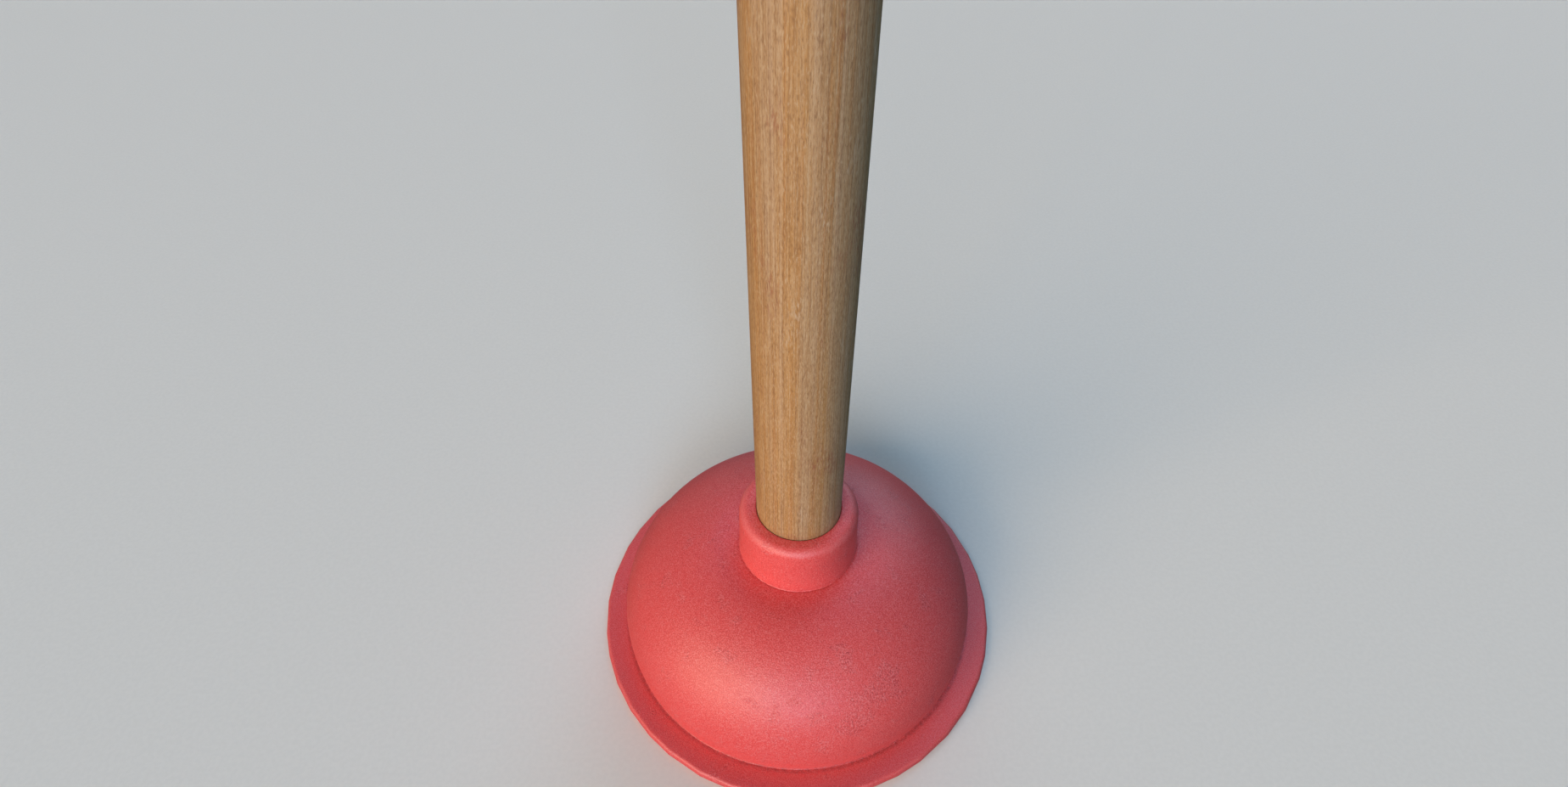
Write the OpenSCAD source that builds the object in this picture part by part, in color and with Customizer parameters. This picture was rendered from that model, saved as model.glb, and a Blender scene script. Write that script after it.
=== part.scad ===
// Force-cup plunger: a rubber bell moulded in one piece with its hub, on a plain wooden
// dowel that seats in the hub and is held by one wood screw and a washer from inside the bell.
// Millimetres, +Z up, origin on the axis at the level of the lip's underside.

/* [Rubber cup] */
// Outer diameter of the flat lip
lip_d = 138.8; // [134:0.2:146]
// Thickness of the lip
lip_t = 3.5; // [3:0.1:4.5]
// Greatest outer diameter of the bell
bell_d = 122; // [118:0.5:126]
// Height of the bell's widest ring above the lip
bell_belly_h = 6.3; // [4:0.1:9]
// Height of the flat crown above the lip
bell_h = 38; // [34:0.5:44]
// Diameter of the flat crown
crown_d = 54; // [46:1:60]
// Wall thickness of the bell
wall_t = 3.6; // [3:0.1:4.5]

/* [Hub] */
// Outer diameter of the hub at its foot on the crown
hub_d = 39; // [37:0.2:42]
// How much smaller the hub's top is than its foot, in diameter
hub_draft = 0.8; // [0:0.1:2]
// Height of the hub above the crown
hub_h = 19.7; // [16:0.1:26]
// Radius of the hub's top shoulder
hub_round = 3.2; // [1:0.1:3.6]
// Diameter of the boss that carries the hub down inside the bell
boss_d = 34; // [32:0.5:36]
// Depth of the socket for the handle
socket_depth = 30.2; // [26:0.2:32]
// Thickness of the rubber web under the handle
web_t = 4; // [3:0.5:5]

/* [Handle] */
// Diameter of the dowel
handle_d = 27; // [25:0.5:28]
// Length of the dowel, end to end
handle_len = 460; // [300:5:600]
// Diameter of the tapered foot at its lower end
foot_d = 25; // [24:0.5:25]
// Height of the domed upper end
dome_h = 10; // [4:0.5:13]

/* [Fixing] */
// Outer diameter of the screw's thread
screw_d = 5; // [4.5:0.1:5.5]
// Length of the screw under its head
screw_len = 38; // [30:1:45]
// Diameter of the screw's pan head
head_d = 10; // [9:0.5:11]
// Height of the screw's pan head
head_h = 3; // [2.6:0.1:3.2]
// Outer diameter of the washer
washer_d = 22; // [16:0.5:26]
// Thickness of the washer
washer_t = 1.2; // [1:0.1:1.5]

/* [Hidden] */

// Segments round the axis, and steps along each curved stretch of an outline
$fn = 96;
bell_steps = 18;
arc_steps = 5;
dome_steps = 12;

// Radial gap between the dowel and its socket, and under the dowel's end
socket_gap = 0.05;

// Heights on the axis, from the floor up
belly_z = lip_t + bell_belly_h;
crown_z = lip_t + bell_h;
hub_z = crown_z + hub_h;
socket_z = hub_z - socket_depth;
boss_z = socket_z - web_t;
washer_z = boss_z - washer_t;
handle_z = socket_z + socket_gap;
handle_top_z = handle_z + handle_len;
shaft_top_z = handle_top_z - dome_h;

// Radii of the cup
lip_r = lip_d / 2;
belly_r = bell_d / 2;
bell_foot_r = belly_r - 0.5;
mouth_r = bell_foot_r - wall_t;
crown_r = crown_d / 2;
hub_r = hub_d / 2;
hub_top_r = hub_r - hub_draft / 2;
boss_r = boss_d / 2;
socket_top_r = handle_d / 2 + socket_gap;
socket_foot_r = foot_d / 2 + socket_gap;

// The bell's shoulder is a superellipse: powers of its sine across and its cosine up
shoulder_power_r = 1.18;
shoulder_power_z = 1.09;

// Small edge radii of the cup
lip_round_top = 1.3;
lip_round_low = 0.8;
mouth_round = 0.5;
boss_round = 1.5;
boss_fillet = 2.5;

// The screw: root of its thread, plain shank, pitch, drive recess, and clearance round it
root_r = screw_d / 2 - 0.9;
shank_r = screw_d / 2 - 0.4;
shank_len = 8;
pitch = 2.2;
tip_len = 5;
thread_turns = floor((screw_len - shank_len - tip_len) / pitch);
recess_l = 5;
recess_w = 1.1;
recess_depth = 1.6;
pilot_r = root_r + 0.05;
pilot_depth = screw_len - web_t - washer_t + 2;
screw_hole_r = screw_d / 2 + 0.4;
foot_chamfer = 1;

// Points of an arc about [cr, cz], from angle a to angle b
function arc(cr, cz, r, a, b) =
    [for (i = [0:arc_steps]) let (t = a + (b - a) * i / arc_steps) [cr + r * cos(t), cz + r * sin(t)]];

// The bell's curve for one skin, inset by t from the outer one: from the belly up to the crown
function shoulder(t) =
    [for (i = [0:bell_steps])
        let (s = 90 * i / bell_steps)
        [crown_r - t / 2 + (belly_r - crown_r - t / 2) * pow(cos(s), shoulder_power_r),
         belly_z + (crown_z - t - belly_z) * pow(sin(s), shoulder_power_z)]];

// The bell below its belly, inset by t: a slight tuck back in, from the lip's top up
function tuck(t) =
    [for (u = [1:-0.25:0.25])
        [belly_r - t - (belly_r - bell_foot_r) * u * u, belly_z - bell_belly_h * u]];

function reversed(p) = [for (i = [len(p) - 1:-1:0]) p[i]];

// Half section of the cup, walked round anticlockwise from the boss's underside
cup_outline = concat(
    [[screw_hole_r, boss_z]],
    arc(boss_r - boss_round, boss_z + boss_round, boss_round, -90, 0),
    arc(boss_r + boss_fillet, crown_z - wall_t - boss_fillet, boss_fillet, 180, 90),
    reversed(concat(tuck(wall_t), shoulder(wall_t))),
    arc(mouth_r + mouth_round, mouth_round, mouth_round, 180, 270),
    arc(lip_r - lip_round_low, lip_round_low, lip_round_low, -90, 0),
    arc(lip_r - lip_round_top, lip_t - lip_round_top, lip_round_top, 0, 90),
    tuck(0),
    shoulder(0),
    [[hub_r, crown_z]],
    arc(hub_top_r - hub_round, hub_z - hub_round, hub_round, 0, 90),
    [[socket_top_r, hub_z], [socket_foot_r, socket_z], [screw_hole_r, socket_z]]
);

// Half section of the dowel, from its lower end up to the top of the dome
handle_outline = concat(
    [[0, handle_z], [foot_d / 2 - foot_chamfer, handle_z]],
    [[foot_d / 2, handle_z + foot_chamfer], [handle_d / 2, hub_z]],
    [for (i = [0:dome_steps - 1])
        let (a = 90 * i / dome_steps)
        [handle_d / 2 * cos(a), shaft_top_z + dome_h * sin(a)]],
    [[0, handle_top_z]]
);

// Half section of the screw, from its head up to its tip
thread_z = washer_z + shank_len;
screw_outline = concat(
    [[0, washer_z - head_h], [head_d * 0.3, washer_z - head_h], [head_d * 0.46, washer_z - head_h * 0.6]],
    [[head_d / 2, washer_z - head_h * 0.25], [head_d / 2, washer_z], [shank_r, washer_z]],
    [[shank_r, thread_z - pitch / 2]],
    [for (i = [0:thread_turns - 1])
        each [[root_r, thread_z + pitch * i], [screw_d / 2, thread_z + pitch * (i + 0.5)]]],
    [[root_r, thread_z + pitch * thread_turns], [0, washer_z + screw_len]]
);

module rubber_cup() {
    color([0.80, 0.22, 0.20])
    rotate_extrude()
    polygon(cup_outline);
}

module wooden_handle() {
    color([0.76, 0.58, 0.38])
    difference() {
        rotate_extrude()
        polygon(handle_outline);
        translate([0, 0, handle_z - 1])
        cylinder(h = pilot_depth + 1, r = pilot_r);
    }
}

module fixing_screw() {
    color([0.70, 0.71, 0.72])
    difference() {
        rotate_extrude()
        polygon(screw_outline);
        for (turn = [0, 90])
            rotate([0, 0, turn])
            translate([-recess_l / 2, -recess_w / 2, washer_z - head_h - 1])
            cube([recess_l, recess_w, recess_depth + 1]);
    }
}

module fixing_washer() {
    color([0.62, 0.63, 0.65])
    translate([0, 0, washer_z])
    difference() {
        cylinder(h = washer_t, d = washer_d);
        translate([0, 0, -1])
        cylinder(h = washer_t + 2, r = screw_hole_r);
    }
}

rubber_cup();
wooden_handle();
fixing_screw();
fixing_washer();
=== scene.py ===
# Looks of the force-cup plunger: a moulded rubber cup, a grained dowel and plated hardware,
# standing on a pale floor in soft studio light. All lengths are metres, in the CAD's frame.

from functools import cache
import math
import bmesh
import bpy
from mathutils import Euler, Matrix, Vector, noise


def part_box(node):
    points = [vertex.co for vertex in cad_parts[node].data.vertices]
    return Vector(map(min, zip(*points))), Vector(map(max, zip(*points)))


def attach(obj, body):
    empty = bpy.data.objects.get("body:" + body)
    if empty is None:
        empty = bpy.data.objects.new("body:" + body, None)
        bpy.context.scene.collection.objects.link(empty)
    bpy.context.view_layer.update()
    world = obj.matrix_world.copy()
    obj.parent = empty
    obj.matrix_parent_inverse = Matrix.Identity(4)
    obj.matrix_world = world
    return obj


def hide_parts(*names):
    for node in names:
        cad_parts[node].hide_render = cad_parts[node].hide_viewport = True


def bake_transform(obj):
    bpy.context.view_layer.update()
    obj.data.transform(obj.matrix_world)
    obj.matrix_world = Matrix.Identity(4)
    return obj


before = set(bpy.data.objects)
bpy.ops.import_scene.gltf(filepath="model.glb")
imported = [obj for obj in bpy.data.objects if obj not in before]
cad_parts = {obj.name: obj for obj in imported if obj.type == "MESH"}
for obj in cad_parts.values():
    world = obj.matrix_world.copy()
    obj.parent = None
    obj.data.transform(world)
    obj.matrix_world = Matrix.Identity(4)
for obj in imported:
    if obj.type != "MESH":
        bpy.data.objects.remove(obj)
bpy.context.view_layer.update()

MM = 0.001

# ---------------------------------------------------------------- sizes

_, cup_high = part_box("rubber_cup")
handle_low, handle_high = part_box("wooden_handle")
screw_low, screw_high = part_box("fixing_screw")
washer_low, washer_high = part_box("fixing_washer")

LIP_R = cup_high.x
HUB_Z = cup_high.z
HANDLE_R = handle_high.x
HANDLE_Z = handle_low.z
HANDLE_TOP_Z = handle_high.z
BOSS_Z = washer_high.z
SCREW_HEAD_R = screw_high.x
SCREW_HEAD_Z = screw_low.z
SCREW_END_Z = screw_high.z
WASHER_Z = washer_low.z
WASHER_R = washer_high.x

# The cup's section, as the CAD draws it
LIP_T = 3.5 * MM
BELLY_R = 61 * MM
BELLY_Z = LIP_T + 6.3 * MM
BELL_FOOT_R = 60.5 * MM
CROWN_R = 27 * MM
CROWN_Z = LIP_T + 38 * MM
WALL = 3.6 * MM
HUB_R = 19.5 * MM
HUB_TOP_R = 19.1 * MM
HUB_ROUND = 3.2 * MM
BOSS_R = 17 * MM
BOSS_ROUND = 1.5 * MM
BOSS_FILLET = 2.5 * MM
SOCKET_GAP = 0.05 * MM
SOCKET_Z = HANDLE_Z - SOCKET_GAP
SOCKET_TOP_R = HANDLE_R + SOCKET_GAP
SOCKET_FOOT_R = 12.55 * MM
SCREW_HOLE_R = 2.9 * MM
SHOULDER_POWER_R = 1.18
SHOULDER_POWER_Z = 1.09
INNER_CROWN_Z = CROWN_Z - WALL
MOUTH_R = BELL_FOOT_R - WALL

# The cup's rounded edges and creases, some of which the CAD leaves sharp
FOOT_FILLET = 0.3 * MM
LIP_FILLET = 0.4 * MM
SOCKET_EDGE = 0.35 * MM
LIP_EDGE_TOP = 1.2 * MM
LIP_EDGE_LOW = 0.8 * MM
MOUTH_EDGE = 0.5 * MM

# Where the lip's flat underside ends
LIP_FLAT_R = LIP_R - 1 * MM

# The mould's parting ridge, round the lip's edge: its middle, its height, its base and its tip
RIDGE_Z = LIP_T * 0.47
RIDGE_HEIGHT = 0.15 * MM
RIDGE_HALF_BASE = 0.22 * MM
RIDGE_HALF_TIP = 0.09 * MM
RIDGE_TIP_ROUND = 0.04 * MM

# How far the bell and the hub run into each other, where their one moulding is split
SEAM_LAP = 0.2 * MM
SEAM_DEPTH = 0.4 * MM

# Steps round the axis
CUP_STEPS = 240
HANDLE_STEPS = 160
SCREW_STEPS = 64
WASHER_STEPS = 128

# The lip is trimmed in straight cuts of so many of the cup's steps each, and the eight of them come
# five times round it. The cuts begin TRIM_REACH inside the lip's edge, and are full TRIM_FADE
# further out.
TRIM_CUTS = (6, 5, 7, 6, 7, 5, 6, 6)
TRIM_REACH = 4 * MM
TRIM_FADE = 3 * MM

# A hand-trimmed moulding's unevenness: about how many waves there are in a metre, and how deep
UNEVEN_WAVES = ((22, 0.12 * MM), (75, 0.03 * MM))

# Nearer the axis than this, a shift along the radius has no clear direction
AXIS_R = 1 * MM

# The dowel, with the slight waves that turning leaves on it
FOOT_R = 12.5 * MM
FOOT_CHAMFER = 1 * MM
DOME_H = 10 * MM
DOME_Z = HANDLE_TOP_Z - DOME_H
PILOT_R = 1.65 * MM
PILOT_DEPTH = 34.8 * MM
TURNING_WAVES = (60, 60, 9)
TURNING_DEPTH = 0.04 * MM

# The screw's shank and thread. What lies inside its core isn't cut by the thread.
SCREW_R = 2.5 * MM
SCREW_ROOT_R = 1.6 * MM
SCREW_CORE_R = 0.9 * SCREW_ROOT_R
SHANK_R = 2.1 * MM
THREAD_PITCH = 2.2 * MM
THREAD_Z = WASHER_Z + 7 * MM
THREAD_RUN_IN = 0.1 * MM
THREAD_SHARPNESS = 3.2
THREAD_STEPS = 130
SCREW_TIP_Z = SCREW_END_Z - 5 * MM

# The screw's head: a dome on a straight rim, and a cross recess that is smaller at its floor
HEAD_RIM = 0.6 * MM
HEAD_POWER = 0.8
HEAD_CHAMFER = 0.1 * MM
RECESS_L = 5 * MM
RECESS_W = 1.1 * MM
RECESS_DEPTH = 1.6 * MM
RECESS_FLOOR_L = 0.42 * RECESS_L
RECESS_FLOOR_W = 0.6 * RECESS_W
CUTTER_MARGIN = 0.3 * MM

# The washer's edges: well rounded on the side that the punch met, and slightly on the other
WASHER_ROUND_LOW = 0.35 * MM
WASHER_ROUND_TOP = 0.12 * MM

# The floor, the backdrop's dome round it, and how far off the lamps hang
FLOOR_SIZE = 26
BACKDROP_R = 12
LAMP_DISTANCE = 4

# The camera: its place, how far down it looks in degrees, and its lens and film in millimetres
CAMERA_X = -4.72 * MM
CAMERA_Y = -158.47 * MM
CAMERA_Z = LIP_T + 270.95 * MM
LOOK_DOWN = 45.748
CAMERA_LENS = 19.018
CAMERA_FILM = 36

# Where each point is at rest, so that a pattern stays on the rubber as it bends
REST_PLACE = "rest_place"

# The bell's scuffed spots: azimuth in degrees, radius, height, and how far each reaches
RUBBED_SPOTS = (
    (300, 50 * MM, 31 * MM, 13 * MM),
    (286, 43 * MM, 36 * MM, 9 * MM),
    (288, 56 * MM, 24 * MM, 10 * MM),
    (190, 26 * MM, 41 * MM, 9 * MM),
)

# The heart of the tree that the dowel was cut from, which its growth rings go round
PITH = (-46 * MM, 38 * MM, 0)


# ---------------------------------------------------------------- mesh helpers


def arc(centre_r, centre_z, radius, start, end, steps=8):
    """Points of an arc in the (radius, height) half plane, from one angle to another in degrees."""
    angles = [math.radians(start + (end - start) * i / steps) for i in range(steps + 1)]
    return [(centre_r + radius * math.cos(a), centre_z + radius * math.sin(a)) for a in angles]


def line(start, end, steps):
    """Points from start to end, both included."""
    return [
        (start[0] + (end[0] - start[0]) * i / steps, start[1] + (end[1] - start[1]) * i / steps)
        for i in range(steps + 1)
    ]


def trimmed(point):
    """The lip's outer edge is trimmed off the mould's flash in short straight cuts, not to a true
    circle. The cuts end on the spin's vertices, and the bell inside the lip stays round."""
    across = math.hypot(point.x, point.y)
    share = min(max((across - LIP_R + TRIM_REACH) / TRIM_FADE, 0), 1)
    if share == 0:
        return point
    turn = math.degrees(math.atan2(point.y, point.x)) % 360 * CUP_STEPS / 360
    start = turn - turn % sum(TRIM_CUTS)
    for cut in TRIM_CUTS:
        if turn < start + cut:
            break
        start += cut
    half = math.pi * cut / CUP_STEPS
    off_middle = (turn - start) / cut * 2 - 1
    chord = math.cos(half) / math.cos(half * off_middle)
    keep = 1 - (1 - chord) * share
    return Vector((point.x * keep, point.y * keep, point.z))


def uneven(point):
    """The slight unevenness of a hand-trimmed moulding: a shift along the radius, smooth in space."""
    radial = Vector((point.x, point.y, 0))
    if radial.length < AXIS_R:
        return point
    point = trimmed(point)
    shift = sum(noise.noise(point * waves) * depth for waves, depth in UNEVEN_WAVES)
    return point + radial.normalized() * shift


def spin(name, section, steps, closed, shape=None):
    """A mesh object from a section of (radius, height) points spun round Z, in so many steps. A
    point on the axis becomes a single vertex. closed joins the section's last point to its first,
    and shape moves each point. The mesh keeps each point's place at rest, for the materials."""
    mesh = bmesh.new()
    rings = []
    for radius, height in section:
        count = steps if radius > 0 else 1
        ring = []
        for i in range(count):
            turn = math.tau * i / steps
            point = Vector((radius * math.cos(turn), radius * math.sin(turn), height))
            ring.append(mesh.verts.new(shape(point) if shape else point))
        rings.append(ring)
    pairs = list(zip(rings, rings[1:]))
    if closed:
        pairs.append((rings[-1], rings[0]))
    for low, high in pairs:
        for i in range(steps):
            j = (i + 1) % steps
            corners = [low[i % len(low)], low[j % len(low)], high[j % len(high)], high[i % len(high)]]
            mesh.faces.new(dict.fromkeys(corners))
    bmesh.ops.recalc_face_normals(mesh, faces=mesh.faces)
    for face in mesh.faces:
        face.smooth = True
    data = bpy.data.meshes.new(name)
    mesh.to_mesh(data)
    mesh.free()
    rest = data.attributes.new(REST_PLACE, "FLOAT_VECTOR", "POINT")
    for vertex in data.vertices:
        rest.data[vertex.index].vector = vertex.co
    piece = bpy.data.objects.new(name, data)
    bpy.context.scene.collection.objects.link(piece)
    return piece


# ---------------------------------------------------------------- the cup


def shoulder(inset, steps=44):
    """The bell's curve for one skin, from the flat crown's rim down to the belly."""
    points = []
    for i in range(steps + 1):
        a = math.pi / 2 * (1 - i / steps)
        across = max(math.cos(a), 0) ** SHOULDER_POWER_R
        up = math.sin(a) ** SHOULDER_POWER_Z
        radius = CROWN_R - inset / 2 + (BELLY_R - CROWN_R - inset / 2) * across
        points.append((radius, BELLY_Z + (CROWN_Z - inset - BELLY_Z) * up))
    return points


def tuck(inset, foot, steps=8):
    """The bell below its belly, from the belly down to foot above the lip's top."""
    height = BELLY_Z - LIP_T
    deepest = 1 - foot / height
    return [
        (BELLY_R - inset - (BELLY_R - BELL_FOOT_R) * u * u, BELLY_Z - height * u)
        for u in [deepest * (i + 1) / steps for i in range(steps)]
    ]


def lip_edge():
    """The lip's outer edge, from its top round to its underside, with the mould's parting ridge."""
    wall_r = LIP_R - RIDGE_HEIGHT
    tip_r = LIP_R - RIDGE_TIP_ROUND
    top = arc(wall_r - LIP_EDGE_TOP, LIP_T - LIP_EDGE_TOP, LIP_EDGE_TOP, 90, 0)
    ridge = [
        (wall_r, RIDGE_Z + RIDGE_HALF_BASE),
        (tip_r, RIDGE_Z + RIDGE_HALF_TIP),
        (LIP_R, RIDGE_Z),
        (tip_r, RIDGE_Z - RIDGE_HALF_TIP),
        (wall_r, RIDGE_Z - RIDGE_HALF_BASE),
    ]
    low = arc(wall_r - LIP_EDGE_LOW, LIP_EDGE_LOW, LIP_EDGE_LOW, 0, -90)
    return top + ridge + low


def make_bell():
    """The bell and its lip, from the hub's foot outward, where the real cup bends between the lip and
    the handle.
    """
    hole_r = HUB_R - SEAM_LAP
    outer = line((hole_r, CROWN_Z), (CROWN_R, CROWN_Z), 8)[:-1] + shoulder(0) + tuck(0, LIP_FILLET)
    crease = arc(BELL_FOOT_R + LIP_FILLET, LIP_T + LIP_FILLET, LIP_FILLET, 180, 270, 4)[1:]
    lip_top = line(crease[-1], lip_edge()[0], 10)[1:-1]
    under = line((LIP_FLAT_R, 0), (MOUTH_R + MOUTH_EDGE, 0), 10)[1:-1]
    mouth = arc(MOUTH_R + MOUTH_EDGE, MOUTH_EDGE, MOUTH_EDGE, 270, 180, 5)
    inner_low = list(reversed(tuck(WALL, 0)))
    inner = list(reversed(shoulder(WALL)))
    inner_crown = line(inner[-1], (hole_r, INNER_CROWN_Z), 6)[1:]
    section = outer + crease + lip_top + lip_edge() + under + mouth + inner_low + inner + inner_crown
    bell = spin("cup_bell", section, CUP_STEPS, True, uneven)
    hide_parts("rubber_cup")
    bell.data.materials.append(rubber())
    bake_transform(bell)


def make_hub():
    """The hub above the crown and the boss below it, which grip the handle and move with it."""
    foot = arc(HUB_R + FOOT_FILLET, CROWN_Z + FOOT_FILLET, FOOT_FILLET, 265, 180, 6)
    side = line(foot[-1], (HUB_TOP_R, HUB_Z - HUB_ROUND), 10)[1:-1]
    top = arc(HUB_TOP_R - HUB_ROUND, HUB_Z - HUB_ROUND, HUB_ROUND, 0, 90, 14)
    edge = arc(SOCKET_TOP_R + SOCKET_EDGE, HUB_Z - SOCKET_EDGE, SOCKET_EDGE, 90, 180, 5)
    socket = line(edge[-1], (SOCKET_FOOT_R, SOCKET_Z), 6)[1:]
    web = [(SCREW_HOLE_R, SOCKET_Z), (SCREW_HOLE_R, BOSS_Z)]
    boss = arc(BOSS_R - BOSS_ROUND, BOSS_Z + BOSS_ROUND, BOSS_ROUND, -90, 0, 6)
    fillet = arc(BOSS_R + BOSS_FILLET, INNER_CROWN_Z - BOSS_FILLET, BOSS_FILLET, 180, 90, 6)
    hidden = [(HUB_R, CROWN_Z - SEAM_DEPTH)]
    section = foot + side + top + edge + socket + web + boss + fillet + hidden
    hub = spin("cup_hub", section, CUP_STEPS, True, uneven)
    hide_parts("rubber_cup")
    hub.data.materials.append(rubber())
    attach(hub, "handle")


# ---------------------------------------------------------------- the handle


def turned(point):
    """A turned dowel is round to a few hundredths of a millimetre, not perfectly."""
    radial = Vector((point.x, point.y, 0))
    if radial.length < AXIS_R or point.z < HUB_Z:
        return point
    wave = noise.noise(point * Vector(TURNING_WAVES))
    return point + radial.normalized() * ((wave - 1) * TURNING_DEPTH)


def make_handle():
    """The dowel, from its tapered foot in the socket to its domed upper end."""
    pilot_z = HANDLE_Z + PILOT_DEPTH
    pilot = [(0, pilot_z), (PILOT_R, pilot_z), (PILOT_R, HANDLE_Z)]
    foot = [(FOOT_R - FOOT_CHAMFER, HANDLE_Z), (FOOT_R, HANDLE_Z + FOOT_CHAMFER)]
    shaft = line((HANDLE_R, HUB_Z), (HANDLE_R, DOME_Z), 60)
    dome = [
        (HANDLE_R * math.cos(a), DOME_Z + DOME_H * math.sin(a))
        for a in [math.radians(90 * i / 24) for i in range(1, 24)]
    ]
    section = pilot + foot + shaft + dome + [(0, HANDLE_TOP_Z)]
    handle = spin("handle_dowel", section, HANDLE_STEPS, False, turned)
    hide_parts("wooden_handle")
    handle.data.materials.append(wood())
    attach(handle, "handle")


# ---------------------------------------------------------------- the fixing


def helical(point):
    """Cuts the screw's plain blank to a helical wood-screw thread, between shank and tip."""
    across = math.hypot(point.x, point.y)
    if across < SCREW_CORE_R or not THREAD_Z < point.z < SCREW_TIP_Z:
        return point
    turns = (point.z - THREAD_Z) / THREAD_PITCH - math.atan2(point.y, point.x) / math.tau
    ridge = max(0, 1 - abs(turns % 1 - 0.5) * THREAD_SHARPNESS)
    fade = min(1, (point.z - THREAD_Z) / THREAD_PITCH, (SCREW_TIP_Z - point.z) / THREAD_PITCH)
    out = (SCREW_ROOT_R + (SCREW_R - SCREW_ROOT_R) * ridge * fade) / across
    return Vector((point.x * out, point.y * out, point.z))


def drive_cutter():
    """A cross that narrows as it goes up into the screw's head."""
    mesh = bmesh.new()
    mouth = (SCREW_HEAD_Z - CUTTER_MARGIN, RECESS_L, RECESS_W)
    floor = (SCREW_HEAD_Z + RECESS_DEPTH, RECESS_FLOOR_L, RECESS_FLOOR_W)
    for turn in (0, math.pi / 2):
        rings = []
        for height, long, wide in (mouth, floor):
            ring = []
            for x, y in ((-long, -wide), (long, -wide), (long, wide), (-long, wide)):
                spot = Vector((x / 2, y / 2, height))
                spot.rotate(Euler((0, 0, turn)))
                ring.append(mesh.verts.new(spot))
            rings.append(ring)
        low, high = rings
        mesh.faces.new(low[::-1])
        mesh.faces.new(high)
        for i in range(4):
            j = (i + 1) % 4
            mesh.faces.new([low[i], low[j], high[j], high[i]])
    data = bpy.data.meshes.new("drive_cutter")
    mesh.to_mesh(data)
    mesh.free()
    cutter = bpy.data.objects.new("drive_cutter", data)
    bpy.context.scene.collection.objects.link(cutter)
    return cutter


def make_screw():
    """The pan-head wood screw that holds the handle: domed head, cross recess, helical thread."""
    rim_z = WASHER_Z - HEAD_RIM
    dome_h = WASHER_Z - SCREW_HEAD_Z - HEAD_RIM
    head = [
        (SCREW_HEAD_R * math.sin(a) ** HEAD_POWER, rim_z - dome_h * math.cos(a) ** HEAD_POWER)
        for a in [math.radians(90 * i / 20) for i in range(21)]
    ]
    head += [(SCREW_HEAD_R, WASHER_Z - HEAD_CHAMFER), (SCREW_HEAD_R - HEAD_CHAMFER, WASHER_Z)]
    shank = [(SHANK_R, WASHER_Z), (SHANK_R, THREAD_Z)]
    thread_start = (SCREW_ROOT_R, THREAD_Z + THREAD_RUN_IN)
    thread = line(thread_start, (SCREW_ROOT_R, SCREW_TIP_Z), THREAD_STEPS)
    section = head + shank + thread + [(0, SCREW_END_Z)]
    screw = spin("pan_screw", section, SCREW_STEPS, False, helical)
    cutter = drive_cutter()
    cut = screw.modifiers.new("drive", "BOOLEAN")
    cut.object = cutter
    cut.operation = "DIFFERENCE"
    cut.solver = "EXACT"
    cut.use_self = True
    graph = bpy.context.evaluated_depsgraph_get()
    screw.data = bpy.data.meshes.new_from_object(screw.evaluated_get(graph))
    screw.modifiers.clear()
    bpy.data.objects.remove(cutter)
    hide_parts("fixing_screw")
    screw.data.materials.clear()
    screw.data.materials.append(plated_steel())
    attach(screw, "handle")


def make_washer():
    """The stamped washer, between the screw's head and the boss."""
    low, top = WASHER_ROUND_LOW, WASHER_ROUND_TOP
    section = arc(WASHER_R - low, WASHER_Z + low, low, -90, 0, 6)
    section += arc(WASHER_R - top, BOSS_Z - top, top, 0, 90, 3)
    section += arc(SCREW_HOLE_R + top, BOSS_Z - top, top, 90, 180, 3)
    section += arc(SCREW_HOLE_R + low, WASHER_Z + low, low, 180, 270, 6)
    washer = spin("flat_washer", section, WASHER_STEPS, True)
    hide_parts("fixing_washer")
    washer.data.materials.append(plated_steel())
    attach(washer, "handle")


# ---------------------------------------------------------------- materials


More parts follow.
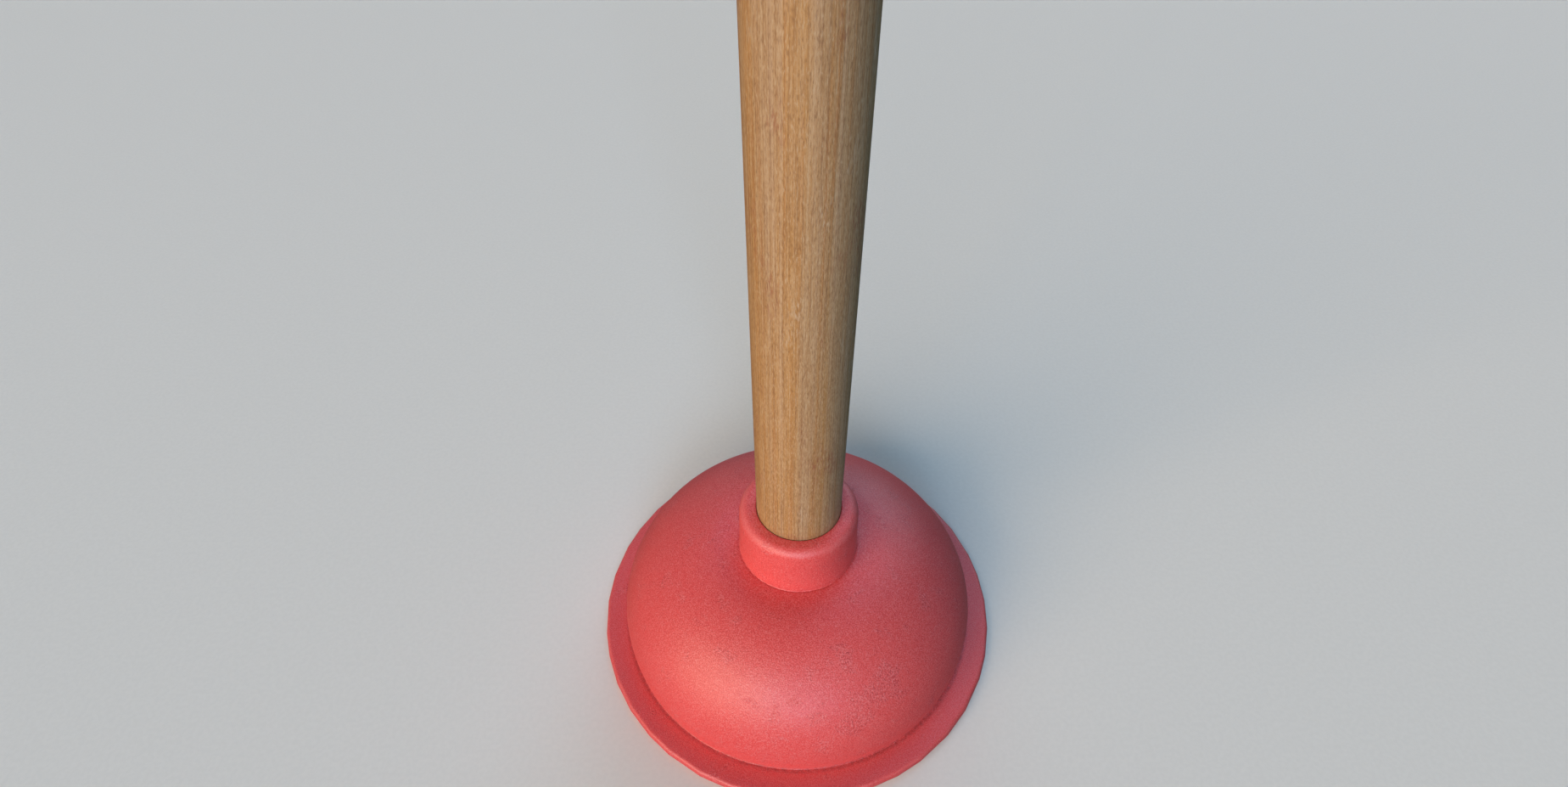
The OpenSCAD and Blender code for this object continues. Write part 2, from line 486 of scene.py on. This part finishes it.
class Shader:
    """A node material being built. A method that adds to it gives back the output of what it added."""

    def __init__(self, name, place=None):
        """place names the attribute that the patterns follow. Without it they follow the mesh."""
        self.material = bpy.data.materials.new(name)
        self.material.use_nodes = True
        self.tree = self.material.node_tree
        self.surface = self.tree.nodes["Principled BSDF"]
        if place:
            self.place = self.add("ShaderNodeAttribute", attribute_name=place).outputs["Vector"]
        else:
            self.place = self.add("ShaderNodeTexCoord").outputs["Object"]

    def add(self, kind, **settings):
        """The new node itself, for when its sockets are needed."""
        made = self.tree.nodes.new(kind)
        for key, value in settings.items():
            setattr(made, key, value)
        return made

    def plug(self, value, socket):
        """value is an output to link to the socket, or what the socket is set to."""
        if isinstance(value, bpy.types.NodeSocket):
            self.tree.links.new(value, socket)
        else:
            socket.default_value = value

    def fix(self, **values):
        """Numbers and colours that are the same all over the surface."""
        for key, value in values.items():
            self.surface.inputs[key.replace("_", " ")].default_value = value

    def scaled(self, factors):
        """The place, stretched for a pattern with so many steps in a metre along X, Y and Z."""
        mapping = self.add("ShaderNodeMapping")
        self.plug(self.place, mapping.inputs["Vector"])
        mapping.inputs["Scale"].default_value = factors
        return mapping.outputs["Vector"]

    def noise(self, vector, scale, detail=3, roughness=0.5, distortion=0):
        made = self.add("ShaderNodeTexNoise")
        self.plug(vector, made.inputs["Vector"])
        made.inputs["Scale"].default_value = scale
        made.inputs["Detail"].default_value = detail
        made.inputs["Roughness"].default_value = roughness
        made.inputs["Distortion"].default_value = distortion
        return made.outputs["Fac"]

    def span(self, value, low, high, to_low=0, to_high=1):
        """value from low to high becomes to_low to to_high, smoothly, and stops there."""
        made = self.add("ShaderNodeMapRange", interpolation_type="SMOOTHSTEP")
        self.plug(value, made.inputs["Value"])
        made.inputs["From Min"].default_value = low
        made.inputs["From Max"].default_value = high
        made.inputs["To Min"].default_value = to_low
        made.inputs["To Max"].default_value = to_high
        return made.outputs["Result"]

    def maths(self, operation, a, b):
        made = self.add("ShaderNodeMath", operation=operation)
        self.plug(a, made.inputs[0])
        self.plug(b, made.inputs[1])
        return made.outputs["Value"]

    def times(self, a, b):
        return self.maths("MULTIPLY", a, b)

    def mix(self, share, a, b):
        """Colour a, with that share of colour b over it."""
        made = self.add("ShaderNodeMix", data_type="RGBA")
        self.plug(share, made.inputs["Factor"])
        self.plug(a, made.inputs["A"])
        self.plug(b, made.inputs["B"])
        return made.outputs["Result"]

    def split(self):
        """The place's height, and its distance from the axis."""
        parts = self.add("ShaderNodeSeparateXYZ")
        self.plug(self.place, parts.inputs[0])
        flat = self.add("ShaderNodeCombineXYZ")
        self.plug(parts.outputs["X"], flat.inputs["X"])
        self.plug(parts.outputs["Y"], flat.inputs["Y"])
        out = self.add("ShaderNodeVectorMath", operation="LENGTH")
        self.plug(flat.outputs[0], out.inputs[0])
        return parts.outputs["Z"], out.outputs["Value"]

    def near_ring(self, radius, height, reach):
        """1 on a ring round the axis, falling to 0 at reach from it."""
        z, r = self.split()
        section = self.add("ShaderNodeCombineXYZ")
        self.plug(r, section.inputs["X"])
        self.plug(z, section.inputs["Y"])
        gap = self.add("ShaderNodeVectorMath", operation="DISTANCE")
        self.plug(section.outputs[0], gap.inputs[0])
        gap.inputs[1].default_value = (radius, height, 0)
        return self.span(gap.outputs["Value"], 0, reach, 1, 0)

    def near_spot(self, azimuth, radius, height, reach):
        """1 at one spot on the surface, falling to 0 at reach from it."""
        a = math.radians(azimuth)
        gap = self.add("ShaderNodeVectorMath", operation="DISTANCE")
        self.plug(self.place, gap.inputs[0])
        gap.inputs[1].default_value = (radius * math.cos(a), radius * math.sin(a), height)
        return self.span(gap.outputs["Value"], 0, reach, 1, 0)

    def bump(self, height, distance, strength, under=None):
        """A relief that is distance high, over the relief under it if there is one."""
        made = self.add("ShaderNodeBump")
        made.inputs["Strength"].default_value = strength
        made.inputs["Distance"].default_value = distance
        self.plug(height, made.inputs["Height"])
        if under:
            self.plug(under, made.inputs["Normal"])
        return made.outputs["Normal"]

    def finish(self, colour, roughness, normal):
        """The finished material."""
        self.plug(colour, self.surface.inputs["Base Color"])
        self.plug(roughness, self.surface.inputs["Roughness"])
        self.plug(normal, self.surface.inputs["Normal"])
        return self.material


def shade(red, green, blue):
    """A display colour, 0 to 255, as the linear colour that a shader takes."""
    def linear(c):
        c /= 255
        return c / 12.92 if c <= 0.04045 else ((c + 0.055) / 1.055) ** 2.4

    return (linear(red), linear(green), linear(blue), 1)


@cache
def rubber():
    """Matt red rubber: fine stipple and scuffed leathery patches with painted highlights on their
    crests and painted shade in their pits, dull bloom, painted light on the hub, and painted shade in
    the creases.
    """
    s = Shader("red_rubber", REST_PLACE)
    height, across = s.split()
    stipple = s.noise(s.place, 2900, 1, 0.5)
    grain = s.noise(s.place, 800, 2, 0.6, 0.4)
    pits = s.noise(s.place, 1900, 2, 0.6)
    broad = s.noise(s.place, 15, 2)
    cloudy = s.noise(s.place, 70, 4, 0.6)
    rubbed = 0
    for spot in RUBBED_SPOTS:
        rubbed = s.maths("ADD", rubbed, s.near_spot(*spot))
    field = s.maths("ADD", s.noise(s.place, 120, 4, 0.6, 0.5), s.times(rubbed, 0.2))
    patches = s.span(field, 0.56, 0.66)

    # The rubber's own red, duller in clouds, with painted light that makes the hub brighter than the
    # bell
    colour = s.mix(s.span(broad, 0.35, 0.65), shade(230, 83, 82), shade(235, 87, 85))
    colour = s.mix(s.span(cloudy, 0.45, 0.75, 0, 0.18), colour, shade(219, 83, 86))
    hub_painted_light = s.span(height, CROWN_Z + 0.5 * MM, CROWN_Z + 3 * MM, 0, 0.4)
    colour = s.mix(hub_painted_light, colour, shade(246, 94, 90))

    # Stipple all over, and coarser pits and crests in the scuffed patches: their pale crests are
    # painted highlights and their dark pits are painted shade
    colour = s.mix(s.span(stipple, 0.5, 0.68, 0, 0.62), colour, shade(236, 134, 134))
    colour = s.mix(s.span(stipple, 0.5, 0.32, 0, 0.5), colour, shade(196, 46, 50))
    colour = s.mix(s.times(patches, s.span(pits, 0.5, 0.34, 0, 0.4)), colour, shade(166, 40, 50))
    colour = s.mix(s.times(patches, s.span(pits, 0.52, 0.66, 0, 0.5)), colour, shade(240, 150, 152))

    # Paler where edges are worn, and darker on the lip
    lip_rim = s.near_ring(LIP_R, LIP_T, 1.6 * MM)
    hub_rim = s.near_ring(HUB_TOP_R - 1 * MM, HUB_Z - 1 * MM, 2 * MM)
    worn = s.times(s.maths("ADD", lip_rim, hub_rim), s.span(cloudy, 0.4, 0.6, 0.1, 0.45))
    colour = s.mix(worn, colour, shade(238, 120, 120))
    on_lip = s.times(s.span(across, BELLY_R, BELLY_R + 1 * MM), s.span(stipple, 0.3, 0.7, 0, 0.16))
    colour = s.mix(on_lip, colour, shade(188, 62, 72))

    # Painted shade in the creases at the bell's foot, the hub's foot and the handle, broken up by the
    # grain
    crease_shade = s.times(s.near_ring(BELLY_R, LIP_T, 1.5 * MM), 1.7)
    crease_shade = s.maths("ADD", crease_shade, s.times(s.near_ring(HUB_R, CROWN_Z, 2.2 * MM), 0.35))
    crease_shade = s.maths("ADD", crease_shade, s.times(s.near_ring(HANDLE_R, HUB_Z, 1.4 * MM), 0.5))
    crease_shade = s.times(crease_shade, s.span(grain, 0.3, 0.7, 0.15, 0.35))
    colour = s.mix(crease_shade, colour, shade(124, 34, 38))

    roughness = s.maths("ADD", s.span(cloudy, 0.35, 0.7, 0.41, 0.49), s.times(patches, 0.06))
    normal = s.bump(stipple, 0.12 * MM, 0.8)
    normal = s.bump(s.times(s.maths("SUBTRACT", pits, 0.5), patches), 0.26 * MM, 0.8, normal)
    s.fix(Specular_IOR_Level=0.64)
    return s.finish(colour, roughness, normal)


def wood():
    """Pale sanded hardwood: soft growth bands, short straight fibres, small reddish and pale flecks."""
    s = Shader("handle_wood", REST_PLACE)
    height, _ = s.split()
    sway = s.noise(s.scaled((30, 30, 9)), 1, 2)
    pith = s.add("ShaderNodeVectorMath", operation="DISTANCE")
    s.plug(s.scaled((1, 1, 0)), pith.inputs[0])
    pith.inputs[1].default_value = PITH
    ring_place = s.add("ShaderNodeCombineXYZ")
    s.plug(s.maths("ADD", pith.outputs["Value"], s.times(sway, 3 * MM)), ring_place.inputs["X"])
    rings = s.noise(ring_place.outputs[0], 420, 3, 0.6)
    bands = s.noise(s.scaled((120, 120, 3)), 1, 3, 0.55, 0.2)
    stripes = s.noise(s.scaled((700, 700, 7)), 1, 2, 0.5)
    fibres = s.noise(s.scaled((2500, 2500, 24)), 1, 1, 0.5)
    short = s.noise(s.scaled((2700, 2700, 110)), 1, 1, 0.5)
    fine = s.noise(s.scaled((3400, 3400, 700)), 1, 2, 0.6)
    specks = s.noise(s.scaled((2600, 2600, 420)), 1, 2, 0.5)
    fields = s.noise(s.scaled((85, 85, 34)), 1, 3, 0.6)

    # The growth bands and stripes
    colour = s.mix(s.span(bands, 0.38, 0.62), shade(190, 143, 87), shade(183, 147, 106))
    colour = s.mix(s.span(rings, 0.4, 0.62, 0, 0.12), colour, shade(158, 118, 80))
    colour = s.mix(s.span(stripes, 0.5, 0.68, 0, 0.34), colour, shade(202, 173, 142))
    colour = s.mix(s.span(stripes, 0.48, 0.34, 0, 0.34), colour, shade(182, 122, 68))

    # Fibres, from long to fine: how strong the dark ones are, and the pale ones
    for grain, dark, pale in ((fibres, 0.36, 0.3), (short, 0.22, 0.18), (fine, 0.5, 0.5)):
        colour = s.mix(s.span(grain, 0.5, 0.72, 0, dark), colour, shade(128, 91, 61))
        colour = s.mix(s.span(grain, 0.48, 0.28, 0, pale), colour, shade(206, 181, 148))

    # Reddish flecks in some fields, pale ones in others
    red_flecks = s.times(s.span(specks, 0.46, 0.62, 0, 0.6), s.span(fields, 0.54, 0.68))
    colour = s.mix(red_flecks, colour, shade(152, 90, 66))
    pale_flecks = s.times(s.span(specks, 0.5, 0.36, 0, 0.5), s.span(fields, 0.45, 0.32))
    colour = s.mix(pale_flecks, colour, shade(216, 198, 172))

    # Darker end grain with open pores on the dome, and painted shade where the handle meets the hub
    end_grain = s.span(height, HANDLE_TOP_Z - 0.7 * DOME_H, HANDLE_TOP_Z - 0.1 * DOME_H)
    pores = s.times(s.span(rings, 0.42, 0.6, 0.25, 0.8), s.span(fibres, 0.4, 0.62, 0.35, 0.9))
    colour = s.mix(s.times(end_grain, pores), colour, shade(126, 86, 54))
    crease_shade = s.times(s.near_ring(HANDLE_R, HUB_Z, 2.5 * MM), 0.25)
    colour = s.mix(crease_shade, colour, shade(96, 62, 42))

    roughness = s.span(fibres, 0.3, 0.7, 0.5, 0.66)
    normal = s.bump(s.maths("ADD", fibres, fine), 0.08 * MM, 0.6)
    s.fix(Specular_IOR_Level=0.35)
    return s.finish(colour, roughness, normal)


@cache
def plated_steel():
    """Zinc plate: fine brushed scratches and a cloudy bloom."""
    s = Shader("plated_steel")
    cloudy = s.noise(s.place, 260, 4, 0.6)
    scratches = s.noise(s.scaled((400, 4000, 400)), 1, 2)
    colour = s.mix(s.span(cloudy, 0.35, 0.7), shade(196, 198, 200), shade(168, 170, 176))
    roughness = s.span(s.maths("ADD", cloudy, scratches), 0.7, 1.3, 0.28, 0.5)
    normal = s.bump(scratches, 0.01 * MM, 0.5)
    s.fix(Metallic=1)
    return s.finish(colour, roughness, normal)


# ---------------------------------------------------------------- stage, light and camera


def make_stage():
    """A plain pale floor, and a plain backdrop far round it that lights nothing."""
    s = Shader("pale_floor")
    tooth = s.noise(s.place, 700, 2)
    colour = s.mix(s.span(tooth, 0.3, 0.7), shade(242, 237, 227), shade(239, 234, 224))
    s.fix(Specular_IOR_Level=0.1)
    s.finish(colour, 0.8, s.bump(tooth, 0.03 * MM, 0.3))
    bpy.ops.mesh.primitive_plane_add(size=FLOOR_SIZE)
    floor = bpy.context.object
    floor.name = "floor"
    floor.data.materials.append(s.material)

    glow = bpy.data.materials.new("pale_backdrop")
    glow.use_nodes = True
    glow.node_tree.nodes.clear()
    light = glow.node_tree.nodes.new("ShaderNodeEmission")
    light.inputs["Color"].default_value = shade(196, 196, 197)
    output = glow.node_tree.nodes.new("ShaderNodeOutputMaterial")
    glow.node_tree.links.new(light.outputs[0], output.inputs["Surface"])
    bpy.ops.mesh.primitive_uv_sphere_add(segments=64, ring_count=32, radius=BACKDROP_R)
    backdrop = bpy.context.object
    backdrop.name = "backdrop"
    backdrop.data.materials.append(glow)
    backdrop.visible_shadow = False
    for surround in (floor, backdrop):
        surround.visible_diffuse = False
        surround.visible_glossy = False


def softbox(name, azimuth, elevation, strength, colour, spread):
    """A far, broad light from that direction, spread degrees wide. Azimuth is counted from +X."""
    a, e = math.radians(azimuth), math.radians(elevation)
    away = Vector((math.cos(a) * math.cos(e), math.sin(a) * math.cos(e), math.sin(e)))
    data = bpy.data.lights.new(name, "SUN")
    data.angle = math.radians(spread)
    data.energy = strength
    data.color = colour
    lamp = bpy.data.objects.new(name, data)
    lamp.location = away * LAMP_DISTANCE
    lamp.rotation_euler = away.to_track_quat("Z", "Y").to_euler()
    bpy.context.scene.collection.objects.link(lamp)
    return lamp


def make_light():
    """A broad warm key low on the left in front, a plain front light, and cool lights on the right,
    behind and above. A low rear light fills the far side and gives no highlight."""
    softbox("key", 223, 20, 2.1, (1.0, 0.75, 0.54), 38)
    softbox("front_fill", 254, 24, 1.04, (1.0, 0.92, 0.93), 28)
    softbox("right_fill", 275, 26, 0.95, (0.47, 0.68, 1.0), 20)
    softbox("back_fill", 62, 28, 0.62, (0.68, 0.8, 1.0), 32)
    rear = softbox("rear_fill", 98, 9, 0.85, (0.95, 0.95, 0.96), 50)
    rear.visible_glossy = False
    softbox("top_fill", 68, 60, 0.38, (0.06, 0.5, 1.0), 36)
    world = bpy.data.worlds.new("room")
    world.use_nodes = True
    room = world.node_tree.nodes["Background"]
    room.inputs["Color"].default_value = (0.54, 0.93, 1.0, 1)
    room.inputs["Strength"].default_value = 0.075
    bpy.context.scene.world = world
    bpy.context.scene.view_settings.view_transform = "Standard"


def make_camera():
    """Close above the cup, looking down along +Y, with the handle rising past it."""
    data = bpy.data.cameras.new("camera")
    data.sensor_width = CAMERA_FILM
    data.lens = CAMERA_LENS
    data.clip_start = 10 * MM
    camera = bpy.data.objects.new("camera", data)
    camera.location = (CAMERA_X, CAMERA_Y, CAMERA_Z)
    camera.rotation_euler = (math.radians(90 - LOOK_DOWN), 0, 0)
    bpy.context.scene.collection.objects.link(camera)
    bpy.context.scene.camera = camera


make_bell()
make_hub()
make_handle()
make_screw()
make_washer()
make_stage()
make_light()
make_camera()
